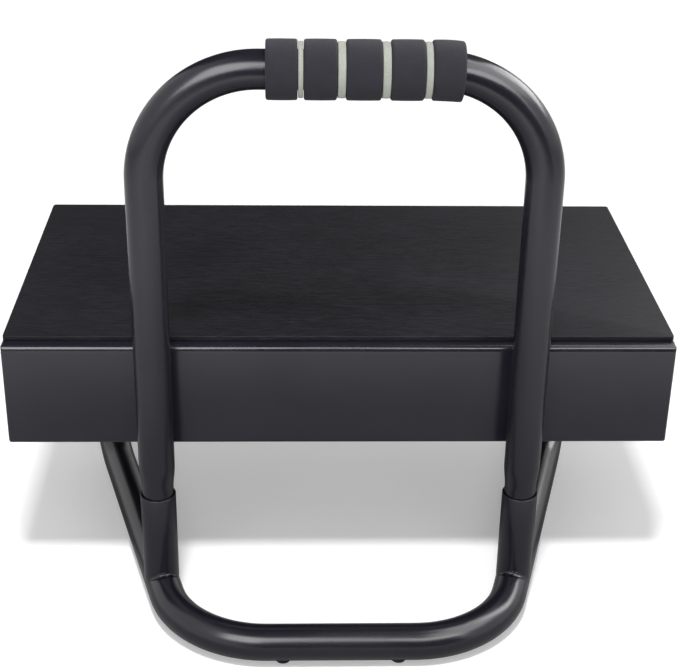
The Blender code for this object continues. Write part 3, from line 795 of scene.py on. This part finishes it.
def is_top_fold(edge, height):
    """Whether an edge runs from side to side at a height."""
    first, second = (corner.co for corner in edge.verts)
    return abs(first.y - second.y) < 1e-6 and min(first.z, second.z) > height - 1e-6


def make_tray():
    """The folded steel pan with its return lip, its front and rear folds the roundest."""
    tray = begin(
        "steel_tray",
        bpy.ops.mesh.primitive_cube_add,
        size=1,
        location=(TRAY_LOW + TRAY_HIGH) / 2,
        scale=TRAY_HIGH - TRAY_LOW,
    )
    pick(tray, "FACE", lambda face: face.normal.z < -0.999)
    bpy.ops.mesh.inset(thickness=TRAY_LIP)
    bpy.ops.mesh.delete(type="FACE")
    close(tray)
    work(tray, "SOLIDIFY", thickness=TRAY_SHEET, offset=-1, use_even_offset=True)
    sheet = Vector((TRAY_SHEET, TRAY_SHEET, TRAY_SHEET))
    outside = TRAY_LOW, TRAY_HIGH
    inside = TRAY_LOW + sheet, TRAY_HIGH - sheet
    for (low, high), fold, radius in (
        (outside, False, TRAY_CORNER),
        (outside, True, TRAY_FOLD),
        (inside, True, TRAY_FOLD - TRAY_SHEET),
    ):
        bpy.ops.object.mode_set(mode="EDIT")
        pick(
            tray,
            "EDGE",
            lambda edge: is_box_edge(edge, low, high) and is_top_fold(edge, high.z) == fold,
        )
        bpy.ops.transform.edge_bevelweight(value=radius / TRAY_FOLD)
        bpy.ops.object.mode_set(mode="OBJECT")
    work(tray, "BEVEL", width=TRAY_FOLD, segments=6, limit_method="WEIGHT")
    smooth(tray)
    hand_over(tray, TRAY_COAT, "platform", "platform_tray")


def make_mat():
    """The foam rubber mat with rounded corners and a soft top edge."""
    mat = begin(
        "tray_mat",
        bpy.ops.mesh.primitive_cube_add,
        size=1,
        location=(MAT_LOW + MAT_HIGH) / 2,
        scale=MAT_HIGH - MAT_LOW,
    )
    pick(mat, "EDGE", lambda edge: abs(edge.verts[0].co.z - edge.verts[1].co.z) > 0.001)
    bpy.ops.mesh.bevel(offset=MAT_CORNER, segments=6, affect="EDGES")
    pick(mat, "EDGE", lambda edge: all(corner.co.z > MAT_HIGH.z - 1e-5 for corner in edge.verts))
    bpy.ops.mesh.bevel(offset=MAT_EDGE, segments=4, affect="EDGES")
    close(mat)
    smooth(mat)
    hand_over(mat, MAT_RUBBER, "platform", "foot_mat")


# ---------------------------------------------------------------- tilt


def drawn_plate(name, outline, thickness):
    """A flat piece of one outline of points, thickened towards +X and left open for shaping."""
    plate = drawn_line(name, outline)
    bpy.ops.mesh.select_all(action="SELECT")
    bpy.ops.mesh.edge_face_add()
    bpy.ops.mesh.extrude_region_move(TRANSFORM_OT_translate={"value": (thickness, 0, 0)})
    return plate


def make_bracket():
    """A folded bracket: pivot ear, arc slot for the lock bolt, flange spot-welded to the tray."""
    wall_top = BRACKET_TOP - BRACKET_SHEET - BRACKET_FOLD
    top = wall_top - PIVOT.z
    slot = BOLT + GAP
    cap = slot + BRACKET_MARGIN
    outer = LOCK_RADIUS + cap
    slot_low = (LOCK_RADIUS * cos(pi + TILT), LOCK_RADIUS * sin(pi + TILT))
    fall = TILT - pi + acos((BRACKET_EAR - cap) / LOCK_RADIUS)
    shoulder = pi - atan2(top, sqrt(outer**2 - top**2))
    edge = [(BRACKET_EAR, top)]
    edge += round_corner((0, 0), BRACKET_EAR, 0, degrees(fall), 16)
    edge += round_corner(slot_low, cap, degrees(fall), degrees(TILT - pi), 16)[1:]
    edge += round_corner((0, 0), outer, degrees(pi + TILT), degrees(shoulder), 24)[1:]
    outline = [(BRACKET_X, PIVOT.y + y, PIVOT.z + z) for y, z in edge]
    bracket = drawn_plate("slotted_bracket_right", outline, BRACKET_SHEET)
    pick(bracket, "FACE", lambda face: middle(face).z > wall_top - 1e-6)
    fold = (BRACKET_X + BRACKET_SHEET + BRACKET_FOLD, 0, wall_top)
    bpy.ops.mesh.spin(steps=6, angle=-pi / 2, center=fold, axis=(0, 1, 0))
    flange = BRACKET_FLANGE - BRACKET_SHEET - BRACKET_FOLD
    bpy.ops.mesh.extrude_region_move(TRANSFORM_OT_translate={"value": (flange, 0, 0)})
    close(bracket)
    arc = round_corner((0, 0), LOCK_RADIUS + slot, 180, 180 + degrees(TILT), 20)
    arc += round_corner(slot_low, slot, 180 + degrees(TILT), 360 + degrees(TILT), 12)[1:]
    arc += round_corner((0, 0), LOCK_RADIUS - slot, 180 + degrees(TILT), 180, 20)[1:]
    arc += round_corner((-LOCK_RADIUS, 0), slot, 0, 180, 12)[1:-1]
    ahead = BRACKET_X - 0.002
    length = 0.008
    outline = [(ahead, PIVOT.y + y, PIVOT.z + z) for y, z in arc]
    cut(bracket, close(drawn_plate("slot", outline, length)))
    cut(bracket, drill((ahead, PIVOT.y, PIVOT.z), (ahead + length, PIVOT.y, PIVOT.z), ROD + GAP))
    for y in BRACKET_SPOTS:
        place = (BRACKET_X + BRACKET_SPOT_X, PIVOT.y + y, BRACKET_TOP - BRACKET_SHEET)
        spot_weld(bracket, place)
    soften(bracket, 0.0003, 1, 60)
    smooth(bracket)
    both_sides(bracket, TRAY_COAT, "platform", "tilt_bracket_")


def spot_weld(piece, place):
    """The shallow round print of a spot welder's tip in a piece's underside."""
    place = Vector(place)
    below = place - Vector((0, 0, 0.001))
    cut(piece, drill(below, place + Vector((0, 0, SPOT_DEPTH)), SPOT, 24))


def make_stiffener():
    """A pressed hat section under the tray's sheet, with rounded folds and spot welds."""
    low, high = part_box("tray_stiffener")
    middle_y = (low.y + high.y) / 2
    section = [((high.y - low.y) / 2, 0), (STIFFENER_FOOT, 0), *STIFFENER_SECTION, *STIFFENER_CROWN]
    points = [(low.x, middle_y + y, high.z - down) for y, down in section]
    points += [(low.x, 2 * middle_y - y, z) for x, y, z in reversed(points[:-1])]
    hat = drawn_line("hat_stiffener", points)
    bpy.ops.mesh.select_all(action="SELECT")
    bpy.ops.mesh.extrude_region_move(TRANSFORM_OT_translate={"value": (high.x - low.x, 0, 0)})
    close(hat)
    work(hat, "SOLIDIFY", thickness=STIFFENER_SHEET, offset=-1, use_even_offset=True)
    spaced = high.x - low.x - 2 * STIFFENER_SPOT_END
    for i in range(STIFFENER_SPOTS):
        x = low.x + STIFFENER_SPOT_END + spaced * i / (STIFFENER_SPOTS - 1)
        for y in (-STIFFENER_SPOT_Y, STIFFENER_SPOT_Y):
            spot_weld(hat, (x, middle_y + y, high.z - STIFFENER_SHEET))
    smooth(hat)
    hand_over(hat, TRAY_COAT, "platform", "tray_stiffener")


def make_saddle(name, node, place, outward, bore):
    """A moulded spacer with a hollow seat for the arm's round side."""
    start = Vector((RISER_X + outward * TUBE / 2, place.y, place.z))
    reach = SPACER_REACH - TUBE / 2
    corner = (SPACER - SPACER_EDGE, reach - SPACER_EDGE)
    profile = [(0, 0), (SPACER, 0)] + round_corner(corner, SPACER_EDGE, 0, 90, 4)
    profile += [(bore + 0.0009, reach), (bore + 0.0006, reach - 0.0003), (0, reach - 0.0003)]
    saddle = turned(name, profile, start, (outward, 0, 0), 60)
    seat = Vector((RISER_X, place.y, place.z))
    across = Vector((0, 0.02, 0))
    cut(saddle, drill(seat - across, seat + across, TUBE + GAP, 90))
    through = Vector((THROUGH, 0, 0))
    cut(saddle, drill(seat - through, seat + through, bore + GAP))
    soften(saddle, 0.00025, 2, 50)
    smooth(saddle)
    both_sides(saddle, NYLON, "stand", node)


def make_rod():
    """The steel rod with rolled threads and chamfers at its ends, and its nuts."""
    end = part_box("pivot_rod")[0].x
    profile = [(0, end), (ROD - 0.0008, end), (ROD - 0.0001, end + 0.0007)]
    profile += ridges(ROD, end + THREAD_LEAD, THREAD, THREAD_PITCH)
    profile += [(ROD, end + ROD_PLAIN)]
    profile += [(radius, -x) for radius, x in reversed(profile)]
    rod = turned("tilt_rod", profile, (0, PIVOT.y, PIVOT.z), (1, 0, 0), 40)
    smooth(rod, 50)
    hand_over(rod, ZINC, "stand", "pivot_rod")
    face = BRACKET_X + BRACKET_SHEET + GAP
    place = (face, PIVOT.y, PIVOT.z)
    nut = begin(
        "rod_nut_right",
        bpy.ops.mesh.primitive_cylinder_add,
        vertices=6,
        radius=NUT / cos(pi / 6),
        depth=NUT_HEX,
        location=(face + NUT_HEX / 2, PIVOT.y, PIVOT.z),
        rotation=(0, pi / 2, 0),
    )
    close(nut)
    crown = [(0, -0.0001), (0.0064, -0.0001), (0.0076, 0.0006)]
    crown += [(0.0076, 0.0040), (0.0064, 0.0049), (0, 0.0049)]
    cut(nut, turned("crown", crown, place, (1, 0, 0)), "INTERSECT")
    collar = [(0, 0.004), (0.0055, 0.004), (0.0055, NUT_HEIGHT - 0.0008)]
    collar += round_corner((0.0048, NUT_HEIGHT - 0.0007), 0.0007, 0, 90, 4) + [(0, NUT_HEIGHT)]
    cut(nut, turned("collar", collar, place, (1, 0, 0)), "UNION")
    cut(nut, drill((face - 0.01, PIVOT.y, PIVOT.z), (face + 0.02, PIVOT.y, PIVOT.z), ROD + GAP))
    soften(nut, 0.00012, 1, 45)
    smooth(nut)
    both_sides(nut, ZINC, "stand", "pivot_nut_")


def ridges(radius, start, length, pitch):
    """Profile points of a rolled thread."""
    points = []
    for i in range(round(length / pitch)):
        foot = start + i * pitch
        points += [(radius - pitch * 0.5, foot), (radius - pitch * 0.5, foot + pitch * 0.12)]
        points += [(radius, foot + pitch * 0.5), (radius, foot + pitch * 0.62)]
    return points


def make_bolt():
    """A carriage bolt: domed head, square neck in the slot and a thread towards its tip."""
    low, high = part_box("lock_bolt_right")
    head = (high.y - low.y) / 2
    seat = BRACKET_X + BRACKET_SHEET + GAP
    dome = high.x - seat
    profile = [(0, high.x)]
    for i in range(1, 9):
        turn = pi / 2 * i / 9
        rise = BOLT_HEAD_EDGE + (dome - BOLT_HEAD_EDGE) * cos(turn)
        profile.append((head * sin(turn), seat + rise))
    profile += [(head, seat + BOLT_HEAD_EDGE), (head - BOLT_HEAD_EDGE, seat), (BOLT, seat)]
    profile += [(BOLT, low.x + BOLT_PLAIN)]
    profile += reversed(ridges(BOLT, low.x + BOLT_THREAD_LEAD, BOLT_THREAD, BOLT_PITCH))
    profile += [(BOLT - 0.0009, low.x), (0, low.x)]
    bolt = turned("carriage_bolt_right", profile, (0, LOCK.y, LOCK.z), (1, 0, 0), 48)
    neck = block(
        (BRACKET_X - 0.0006, LOCK.y - BOLT, LOCK.z - BOLT),
        (seat + 0.0005, LOCK.y + BOLT, LOCK.z + BOLT),
        "neck",
    )
    cut(bolt, neck, "UNION")
    smooth(bolt, 50)
    both_sides(bolt, ZINC, "stand", "lock_bolt_")


def make_knob():
    """A five-lobed hand knob with a boss towards the arm and a dished face."""
    rim = KNOB_THICKNESS
    shoulder = KNOB - KNOB_ROUND
    profile = [(0, 0), (KNOB_BOSS - 0.0004, 0), (KNOB_BOSS, 0.0004), (KNOB_BOSS, 0.0026)]
    profile += round_corner((shoulder, KNOB_WHEEL), KNOB_ROUND, -90, 0, 5)
    profile += round_corner((shoulder, rim - KNOB_ROUND), KNOB_ROUND, 0, 90, 5)
    profile += [(0.0085, rim), (0.0072, rim - 0.0010), (0.0064, rim - 0.0014)]
    profile += [(0.0040, rim - 0.0015), (0.0038, rim - 0.0002), (0, rim - 0.0002)]
    knob = turned("hand_knob_right", profile, (KNOB_FACE, LOCK.y, LOCK.z), (-1, 0, 0), 120)
    bpy.ops.object.mode_set(mode="EDIT")
    shape = bmesh.from_edit_mesh(knob.data)
    for corner in shape.verts:
        out = corner.co - Vector((corner.co.x, LOCK.y, LOCK.z))
        grown = max(0, out.length - KNOB_LOBE_FOOT) / (KNOB - KNOB_LOBE_FOOT)
        wave = (1 - cos(KNOB_LOBES * atan2(out.z, out.y))) / 2
        corner.co -= out * KNOB_LOBE_DEPTH * wave * grown
    bmesh.update_edit_mesh(knob.data)
    close(knob)
    tip = Vector((KNOB_FACE - KNOB_THICKNESS, LOCK.y, LOCK.z))
    cut(knob, drill(tip - Vector((0.002, 0, 0)), tip + Vector((0.02, 0, 0)), BOLT + GAP))
    smooth(knob, 40)
    left = mirrored(knob, "hand_knob_left")
    hand_over(knob, NYLON, "knob_right", "lock_knob_right")
    hand_over(left, NYLON, "knob_left", "lock_knob_left")


def make_plug():
    """A ribbed plastic plug with a low domed head in the arm's front end."""
    bore = TUBE - TUBE_WALL
    profile = [(0, 0.0023), (0.0040, 0.0021), (0.0075, 0.0015), (0.0098, 0.0008)]
    profile += [(TUBE - 0.0002, 0.0005), (TUBE - 0.0001, GAP)]
    for i in range(PLUG_RIBS):
        foot = -0.001 - PLUG_PITCH * i
        profile += [(bore - PLUG_GROOVE, foot), (bore - PLUG_GROOVE, foot - 0.0016)]
        profile += [(bore - GAP, foot - 0.002), (bore - GAP, foot - 0.0025)]
    profile += [(bore - PLUG_GROOVE, PLUG_END), (0, PLUG_END)]
    plug = turned("arm_end_plug_right", profile, (RISER_X, ARM_END_Y, ARM_Z), (0, -1, 0))
    smooth(plug)
    both_sides(plug, NYLON, "stand", "arm_plug_")


make_stand_tube()
make_sockets()
make_handle()
make_grip()
make_feet()
make_tray()
make_mat()
make_bracket()
make_stiffener()
make_saddle("rod_spacer_right", "pivot_spacer_", PIVOT, 1, ROD)
make_saddle("bolt_spacer_right", "lock_spacer_", LOCK, 1, BOLT)
make_saddle("bolt_saddle_right", "lock_saddle_", LOCK, -1, BOLT)
make_rod()
make_bolt()
make_knob()
make_plug()


# ---------------------------------------------------------------- studio


def make_floor():
    """A white floor, lifted a little for the camera so that it meets the white background, with
    painted shade near the footrest that only reflections see.
    """
    floor = begin("floor", bpy.ops.mesh.primitive_plane_add, size=FLOOR_SPAN, location=(0, 3, 0))
    bpy.ops.object.mode_set(mode="OBJECT")
    paint, tree, shader, place = new_finish("white_studio_floor", Roughness=0.9)
    shader.inputs["Specular IOR Level"].default_value = 0.1
    shader.inputs["Emission Color"].default_value = (1, 1, 1, 1)
    rays = add_node(tree, "ShaderNodeLightPath", {})
    # Painted shade: the floor close to the footrest is painted darker for reflections alone
    away = add_node(tree, "ShaderNodeVectorMath", {0: place}, operation="LENGTH").outputs["Value"]
    near = spread(tree, away, 0.3, 0.7, FLOOR_REFLECTED_SHADE, 0)
    reflected_shade = reckon(tree, "MULTIPLY", near, rays.outputs["Is Glossy Ray"])
    tree.links.new(two_tone(tree, reflected_shade, "#F2F2F2", "#000000"), shader.inputs["Base Color"])
    glow = spread(tree, away, 0.8, 2.5, FLOOR_LIFT_NEAR, FLOOR_LIFT_FAR)
    lift = reckon(tree, "MULTIPLY", glow, rays.outputs["Is Camera Ray"])
    tree.links.new(lift, shader.inputs["Emission Strength"])
    floor.data.materials.append(paint)


def make_world():
    """White for the camera, even soft light for surfaces, pale walls aside for reflections."""
    world = bpy.data.worlds.new("studio")
    bpy.context.scene.world = world
    world.use_nodes = True
    tree = world.node_tree
    background = tree.nodes["Background"]
    background.inputs["Color"].default_value = (1, 1, 1, 1)
    rays = add_node(tree, "ShaderNodeLightPath", {})
    ahead = add_node(tree, "ShaderNodeTexCoord", {}).outputs["Generated"]
    across = add_node(tree, "ShaderNodeSeparateXYZ", {"Vector": ahead}).outputs["X"]
    aside = reckon(tree, "ABSOLUTE", reckon(tree, "ADD", across, WALL_SHIFT))
    walls = spread(tree, aside, 0.08, 0.5, WALL_DARK, WALL_PALE)
    mirrored_light = reckon(tree, "MULTIPLY", rays.outputs["Is Glossy Ray"], walls)
    plain = spread(tree, rays.outputs["Is Glossy Ray"], 0, 1, WORLD_SOFT, 0)
    seen = spread(tree, rays.outputs["Is Camera Ray"], 0, 1, 0, WORLD_SEEN)
    total = reckon(tree, "ADD", reckon(tree, "ADD", mirrored_light, plain), seen)
    tree.links.new(total, background.inputs["Strength"])


def make_lamp(name, place, target, size, power):
    """A rectangular soft box aimed at a point, which reflections don't see."""
    lamp = bpy.data.lights.new(name, "AREA")
    lamp.shape = "RECTANGLE"
    lamp.size, lamp.size_y = size
    lamp.energy = power
    holder = bpy.data.objects.new(name, lamp)
    holder.location = place
    holder.rotation_euler = (Vector(target) - Vector(place)).to_track_quat("-Z", "Y").to_euler()
    holder.visible_glossy = False
    bpy.context.scene.collection.objects.link(holder)


def make_card(name, place, size, glow):
    """A card turned towards the object that only reflections see, black or lit."""
    card = begin(
        name,
        bpy.ops.mesh.primitive_plane_add,
        size=1,
        location=place,
        rotation=(CARD_TARGET - Vector(place)).to_track_quat("Z", "Y").to_euler(),
        scale=(*size, 1),
    )
    bpy.ops.object.mode_set(mode="OBJECT")
    card.visible_camera = False
    card.visible_diffuse = False
    card.visible_shadow = False
    card.visible_transmission = False
    paint, _, shader, _ = new_finish(name, Roughness=1.0)
    shader.inputs["Base Color"].default_value = colour("#000000")
    shader.inputs["Specular IOR Level"].default_value = 0.0
    shader.inputs["Emission Color"].default_value = (1, 1, 1, 1)
    shader.inputs["Emission Strength"].default_value = glow
    card.data.materials.append(paint)


def make_camera():
    """The camera of the photograph."""
    lens = bpy.data.cameras.new("camera")
    lens.lens = CAMERA_LENS
    lens.sensor_width = 36
    holder = bpy.data.objects.new("camera", lens)
    ahead = Vector(
        (
            -sin(CAMERA_YAW) * cos(CAMERA_PITCH),
            cos(CAMERA_YAW) * cos(CAMERA_PITCH),
            -sin(CAMERA_PITCH),
        )
    )
    level = Vector((cos(CAMERA_YAW), sin(CAMERA_YAW), 0))
    above = level.cross(ahead)
    right = level * cos(CAMERA_ROLL) + above * sin(CAMERA_ROLL)
    up = above * cos(CAMERA_ROLL) - level * sin(CAMERA_ROLL)
    turn = Matrix((right, up, -ahead)).transposed().to_4x4()
    holder.matrix_world = Matrix.Translation(CAMERA_PLACE) @ turn
    bpy.context.scene.collection.objects.link(holder)
    bpy.context.scene.camera = holder


make_camera()
make_floor()
make_world()

# Two soft boxes light the surfaces, bright cards are what the coats mirror,
# and the two darkest cards keep the mat and the front bar deep
make_lamp("front_softbox", (-0.1, -1.6, 0.7), (-0.1, 0.05, 0.2), (2.0, 0.4), 12)
make_lamp("overhead_softbox", (-0.08, -0.82, 2.0), (0, 0, 0), (0.22, 0.22), 32)
make_card("front_left_box", (-0.5, -1.17, 1.24), (1.1, 0.5), 8.0)
make_card("back_right_box", (1.1, 0.53, 1.1), (0.45, 0.35), 8.5)
make_card("front_right_window", (0.59, -1.13, 0.84), (0.5, 0.22), 8.0)
make_card("high_right_window", (0.85, -0.43, 1.28), (0.25, 0.25), 4.5)
make_card("high_back_window", (0.42, 0.53, 1.3), (0.2, 0.2), 6.0)
make_card("back_card", (-0.03, 0.45, 0.75), (0.4, 0.9), 0.03)
make_card("low_front_card", (0.3, -0.95, 0.22), (1.8, 0.46), 0.03)
bpy.context.scene.view_settings.view_transform = "Standard"
